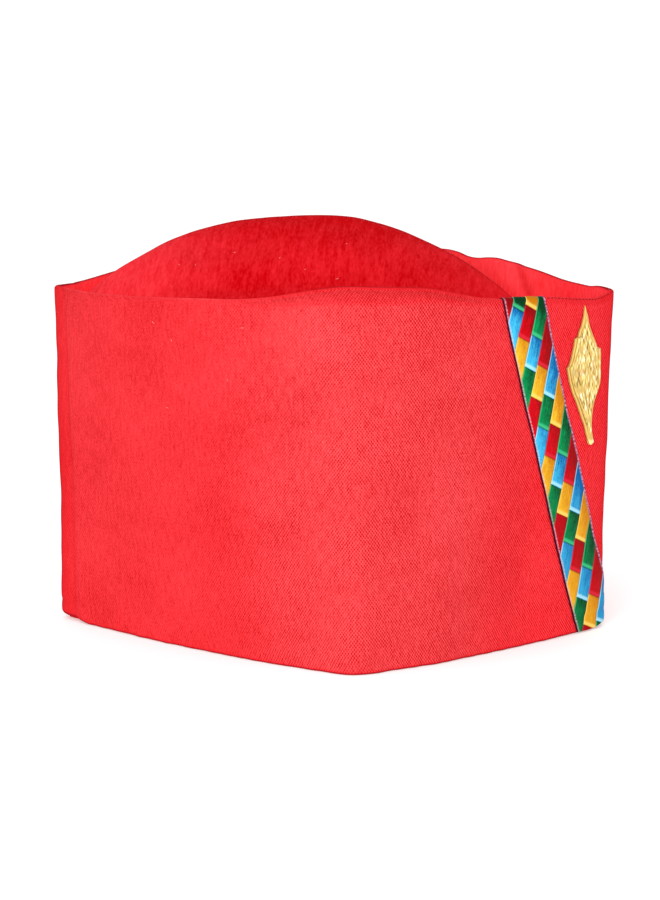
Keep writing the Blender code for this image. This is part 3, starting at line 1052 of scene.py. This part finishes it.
def crown_material():
    """Deeper red cotton with upright streaks: brighter at the front, with painted light at the back and
    painted shade.
    """
    g = Graph("crown_cotton")
    x, y, z = g.place()
    slub = g.noise(g.vector(x * 560.0, y * 60.0, z * 110.0), 1.0, 3.0, 0.6)
    fine = g.noise(g.vector(x * 1300.0, y * 300.0, z * 600.0), 1.0, 2.0, 0.5)
    cloud = g.noise(g.vector(x, y, z), 42.0, 3.0, 0.6)
    nap = (slub - 0.5) * 1.3 + (fine - 0.5) * 1.1

    # Painted shade in the valley behind the lip and along the top
    valley = g.step(y, -0.024, -0.054) * g.step(x, -0.076, -0.044) * g.step(x, 0.050, 0.010, 0.0, 0.23)
    top = g.step(z, 0.146, 0.157, 0.0, 0.32)
    light = nap + (cloud - 0.5) * 0.65 + g.step(x, 0.010, 0.045, 0.46, 0.31) - valley - top
    base = g.mix(light, colour(196, 0, 8), colour(237, 39, 49))

    # Brighter at the front end; painted light at the back end; painted shade beside the near rim and in the
    # ridge crease
    nap = nap + 0.5
    front = g.mix(nap, colour(238, 6, 18), colour(255, 40, 54))
    back = g.mix(nap, colour(240, 26, 38), colour(255, 70, 80))
    crease = g.step(g.math("ABSOLUTE", y), 0.0018, 0.0003) * g.step(z, 0.110, 0.140)
    base = g.lay(base, (g.step(x, 0.030, 0.086, 0.0, 0.85), front),
                 (g.step(x, -0.030, -0.086, 0.0, 0.80), back),
                 (g.attribute("tucked") * 0.45, colour(184, 0, 8)), (crease * 0.60, colour(160, 2, 12)))
    return g.finish(Base_Color=base, Roughness=0.9, Normal=g.bump(slub + fine * 0.6, 0.00014, 0.5),
                    Specular_IOR_Level=0.02)


def ribbon_material():
    """Satin patches in yellow, green, red and blue, with a dark back edge and a mauve front edge."""
    g = Graph("satin_ribbon")
    across, height = g.uv()
    stripe = STRIPE_START - across * STRIPES_ACROSS - height / STRIPE_PITCH
    number = g.math("FLOOR", stripe)
    over = stripe - number
    lane = LANE_START + across * LANES_ACROSS + over * LANE_STEP
    row = g.math("MAXIMUM", g.math("MINIMUM", g.math("FLOOR", lane), LAST_LANE), 0.0)
    ahead = lane - row
    kind = g.math("FLOORED_MODULO", number + row * 2.0, float(len(SATINS)))

    # Painted satin sheen: each patch is deep at its upper end and front side and pale at its lower end and
    # back side
    threads = g.noise(g.vector(over * 11.0, lane * 1.8, number), 1.0, 3.0, 0.6)
    grain = g.noise(g.vector(over * 16.0, lane * 12.0, number), 1.0, 2.0)
    blotch = g.noise(g.vector(over * 2.6, lane * 2.2, number), 1.0, 2.0)
    shine = ahead * 0.50 - over * 0.30 + across * 0.35 + (g.chance(number, row) - 0.5) * 0.2
    shine = shine + (threads - 0.5) * 1.15 + (grain - 0.5) * 0.8 + (blotch - 0.5) * 0.9

    # Painted shade just under the rim, where the ribbon bends over it; deeper towards the foot, where the
    # patches are more even
    shine = shine + g.step(height, 0.126, 0.134, 0.10, -0.60) + g.step(height, 0.0, 0.080, -0.22, 0.0)
    shine = (shine - 0.40) * g.step(height, 0.020, 0.100, 0.50, 1.0) + 0.40
    deep, pale, bright = SATINS[0]
    for n, satin in enumerate(SATINS[1:], 1):
        this = g.math("COMPARE", kind, float(n), 0.5)
        deep, pale, bright = (g.mix(this, old, new) for old, new in zip((deep, pale, bright), satin))
    base = g.mix(shine, deep, pale)

    # A painted highlight on the pale lip at each patch's lower end and back side, and thin dark lines where
    # its neighbours begin
    inner = g.math("LESS_THAN", row, LAST_LANE - 0.5)
    outer = g.math("GREATER_THAN", row, 0.5)
    pale_end = g.step(ahead, 0.84, 0.93) * g.step(ahead, 0.99, 0.97) * inner
    start = g.step(g.math("ABSOLUTE", ahead), 0.05, 0.0) * outer
    base = g.lay(base, (pale_end * 0.75, bright), (g.step(over, 0.085, 0.035) * 0.65, bright),
                 (start * 0.6, colour(30, 16, 20)), (g.step(over, 0.955, 0.99) * 0.6, colour(24, 20, 40)))

    # The woven edges: pale and then dark at the back, mauve at the front
    fringe = g.noise(g.vector(across, height * 1100.0), 1.0, 1.0)
    pale_edge = g.step(across, 0.938, 0.965) * g.step(fringe, 0.34, 0.64, 0.10, 0.75)
    flecked = g.mix(g.step(fringe, 0.32, 0.68), colour(112, 60, 98), colour(196, 146, 172))
    base = g.lay(base, (pale_edge, g.mix(0.6, bright, colour(226, 190, 208))),
                 (g.step(across, 0.976, 0.984), colour(76, 8, 36)), (g.step(across, 0.046, 0.026), flecked))
    bump = g.bump(g.sine(over * 12.0) * 0.5 + threads, 0.00005, 0.7)
    return g.finish(Base_Color=base, Roughness=0.5, Normal=bump, Specular_IOR_Level=0.04)


def gilt_material():
    """Pale stamped gilt, with painted light on its raised threads and edges and painted shade in its
    hollows.
    """
    g = Graph("pale_gilt")
    place = g.vector(*g.place())
    relief_light_and_shade = g.attribute("relief_light_and_shade")
    grain = g.noise(place, 1100.0, 3.0)
    glint = g.step(g.noise(place, 330.0, 2.0), 0.46, 0.66)
    tarnish = g.step(g.noise(place, 260.0, 3.0), 0.54, 0.70, 0.0, 0.35)
    # Painted shade in the hollows, and painted light and glints on the raised threads
    low = g.mix(g.step(relief_light_and_shade, 0.0, 0.40), colour(100, 76, 16), colour(220, 182, 92))
    high = g.mix(glint, colour(248, 232, 150), colour(255, 255, 214))
    base = g.mix(tarnish, g.mix(g.step(relief_light_and_shade, 0.42, 0.92), low, high), colour(226, 160, 92))
    return g.finish(Base_Color=base, Metallic=0.25, Roughness=grain * 0.25 + 0.32,
                    Normal=g.bump(grain, 0.00010, 0.6))


def mottled_material(name, scale, deep, pale, **shader):
    """Thread, lint or paper, mottled between two colours."""
    g = Graph(name)
    mottle = g.noise(g.vector(*g.place()), scale)
    return g.finish(Base_Color=g.mix(mottle, deep, pale), **shader)


def unit(vectors):
    return vectors / np.linalg.norm(vectors, axis=-1, keepdims=True)


def tube_mesh(name, paths, radii, surface, sides=6):
    """Thin round threads along paths, with a radius for each point, closed at both ends."""
    count = len(radii)
    angles = 2 * math.pi * np.arange(sides)[:, None] / sides
    points, faces = [], []
    for path in paths:
        first = len(points)
        ahead = np.gradient(np.array(path), axis=0)
        side = unit(np.cross(ahead, (0.9, 0.3, 0.1)))
        other = unit(np.cross(ahead, side))
        for k in range(count):
            points += (path[k] + radii[k] * (np.cos(angles) * side[k] + np.sin(angles) * other[k])).tolist()
        for k in range(count - 1):
            for j in range(sides):
                a, b = first + k * sides + j, first + k * sides + (j + 1) % sides
                faces.append((a, a + sides, b + sides, b))
        faces.append(tuple(first + j for j in range(sides)))
        faces.append(tuple(first + (count - 1) * sides + j for j in reversed(range(sides))))
    return add_mesh(name, points, faces, surface)


def thread_radii(radius, steps, least):
    """Radii along a short thread that thins at both ends."""
    return radius * np.sqrt(np.maximum(1 - steps ** 4, least))


def build_stitches(wall, surface):
    """Short stitches along the ribbon's back edge, which lean a little over it."""
    pitch, half_length, radius, rise, leaning = 0.00125, 0.00046, 0.00012, 0.00010, 0.010
    bend = np.linspace(-1, 1, 5)
    lift = RIBBON_THICKNESS + 0.00004 + rise * (1 - bend ** 2)
    count = int(CUFF_HEIGHT / pitch)
    paths = [on_wall_each(wall, ribbon_distance(n / count, 0.960 + leaning * bend),
                          n / count + half_length * bend / CUFF_HEIGHT, lift) for n in range(1, count)]
    return tube_mesh("ribbon_stitches", paths, thread_radii(radius, bend, 0.15), surface)


def build_rim_shadow_stitches(wall, surface):
    """Short dark stitches along the near rim's edge, from the front fold to the ribbon, that also stand in
    for its shadow line.
    """
    pitch, half_length, radius, rise = 0.0021, 0.00070, 0.00018, 0.00008
    edge_inset, edge_rise = 0.00030, 0.00115
    bend = np.linspace(-1, 1, 5)
    out = rise * (1 - bend ** 2) - edge_inset
    starts = np.arange(0.0010, RIBBON_FRONT[1] - 0.0015, pitch)
    paths = [on_wall(wall, start + half_length * bend, 1.0, out) + np.array([0, 0, edge_rise])
             for start in starts]
    return tube_mesh("rim_shadow_stitches", paths, thread_radii(radius, bend, 0.15), surface)


def build_lint(pieces, surface):
    """A few loose fibres on the near side and on the crown."""
    rng = np.random.default_rng(41)
    radius, lift, count = 0.00012, 0.00018, 14
    trees = []
    for piece in pieces:
        corners = [vertex.co for vertex in piece.data.vertices]
        trees.append(BVHTree.FromPolygons(corners, [face.vertices for face in piece.data.polygons]))
    steps = np.linspace(-1, 1, 7)
    paths = []
    ahead = Vector((0.0, 0.97, -0.24)).normalized()
    for _ in range(count):
        start = Vector((rng.uniform(-0.09, 0.01), -0.30, rng.uniform(0.13, 0.225)))
        hits = [tree.ray_cast(start, ahead) for tree in trees]
        hits = [hit for hit in hits if hit[0] is not None]
        if not hits:
            continue
        place, normal, _, _ = min(hits, key=lambda hit: hit[3])
        normal = normal if normal.y < 0 or normal.z > 0 else -normal
        across = normal.cross(Vector((0, 0, 1))).normalized()
        down = normal.cross(across)
        turn, curl, length = rng.uniform(0, math.pi), rng.uniform(-1.5, 1.5), rng.uniform(0.0003, 0.0007)
        along = across * math.cos(turn) + down * math.sin(turn)
        aside = along.cross(normal) * (0.4 * curl)
        middle = place + normal * lift
        paths.append([np.array(middle + (along * t + aside * (t * t)) * length) for t in steps])
    return tube_mesh("loose_lint", paths, thread_radii(radius, steps, 0.1), surface, sides=5)


def build_floor():
    """A pale round floor, far wider than the view, with a soft glow of its own."""
    count, radius, drop = 96, 14.0, 0.0002
    angles = [2 * math.pi * n / count for n in range(count)]
    points = [(radius * math.cos(angle), radius * math.sin(angle), -drop) for angle in angles]
    paper = mottled_material("floor_paper", 1.5, colour(244, 244, 244), colour(248, 248, 248),
                             Roughness=0.9, Specular_IOR_Level=0.1,
                             Emission_Color=(1.0, 1.0, 1.0, 1.0), Emission_Strength=FLOOR_GLOW)
    return add_mesh("studio_floor", points, [tuple(range(count))], paper)


def add_light(name, place, size, power):
    data = bpy.data.lights.new(name, "AREA")
    data.size = size
    data.energy = power
    light = add_object(name, data)
    light.location = place
    light.rotation_euler = (Vector(LIGHT_TARGET) - Vector(place)).to_track_quat("-Z", "Y").to_euler()


def add_camera():
    """The photograph's viewpoint."""
    data = bpy.data.cameras.new("camera")
    data.sensor_fit = "VERTICAL"
    data.sensor_height = SENSOR_HEIGHT
    data.lens = LENS
    camera = add_object("camera", data)
    place = Matrix.Translation((CAMERA_SIDESTEP, -CAMERA_DISTANCE, CAMERA_HEIGHT))
    tilt = Matrix.Rotation(math.pi / 2 - CAMERA_TILT, 4, "X")
    camera.matrix_world = Matrix.Rotation(CAMERA_YAW, 4, "Z") @ place @ tilt
    bpy.context.scene.camera = camera


def build_studio():
    build_floor()
    world = bpy.data.worlds.new("studio")
    world.use_nodes = True
    sky = world.node_tree.nodes["Background"].inputs
    sky["Color"].default_value = (1.0, 1.0, 1.0, 1.0)
    sky["Strength"].default_value = SKY_LIGHT
    scene = bpy.context.scene
    scene.world = world
    scene.view_settings.view_transform = "Standard"
    add_light("front_light", (-0.15, -1.65, 0.60), 0.7, FRONT_LIGHT)
    add_light("top_light", (-0.5, -0.4, 1.7), 1.4, TOP_LIGHT)
    add_camera()


def build_cap():
    stations = ring(*CUFF_RING)
    wall = cuff_wall(stations)
    middle_row = len(wall.levels) // 2
    corner_station = int(np.argmin(np.abs(stations.along - CORNER_SHARE) + (stations.side > 0)))
    corner = float(wall.distance[middle_row, corner_station])

    thread = mottled_material("stitch_thread", 500.0, colour(190, 130, 160), colour(222, 196, 206),
                              Roughness=0.6, Specular_IOR_Level=0.3)
    # Dark red thread for the rim stitches, dark enough to stand in for the shadow line along the rim as
    # well
    rim_shadow_thread = mottled_material("dark_red_rim_shadow_thread", 500.0, colour(130, 0, 10), colour(196, 12, 26),
                                   Roughness=0.8, Specular_IOR_Level=0.1)
    fibre = mottled_material("lint_fibre", 900.0, colour(238, 104, 106), colour(236, 150, 146),
                             Roughness=0.9)

    cuff = build_cuff(stations, cuff_material(corner))
    crown = build_crown(ring(*CROWN_RING), crown_material())
    ribbon = build_ribbon(wall, ribbon_material())
    stitches = build_stitches(wall, thread)
    rim_row = build_rim_shadow_stitches(wall, rim_shadow_thread)
    leaf = build_leaf(wall, gilt_material())
    lint = build_lint((cuff, crown), fibre)
    dressed = ((cuff, "cuff", "cuff_cloth"), (crown, "crown", "crown_cloth"),
               (ribbon, "ribbon", "woven_ribbon"), (leaf, "emblem", "gilt"))
    for piece, node, slot in dressed:
        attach(piece, "root")
        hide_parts(node)
    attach(stitches, "root")
    for piece in (rim_row, lint):
        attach(piece, "root")


build_studio()
build_cap()
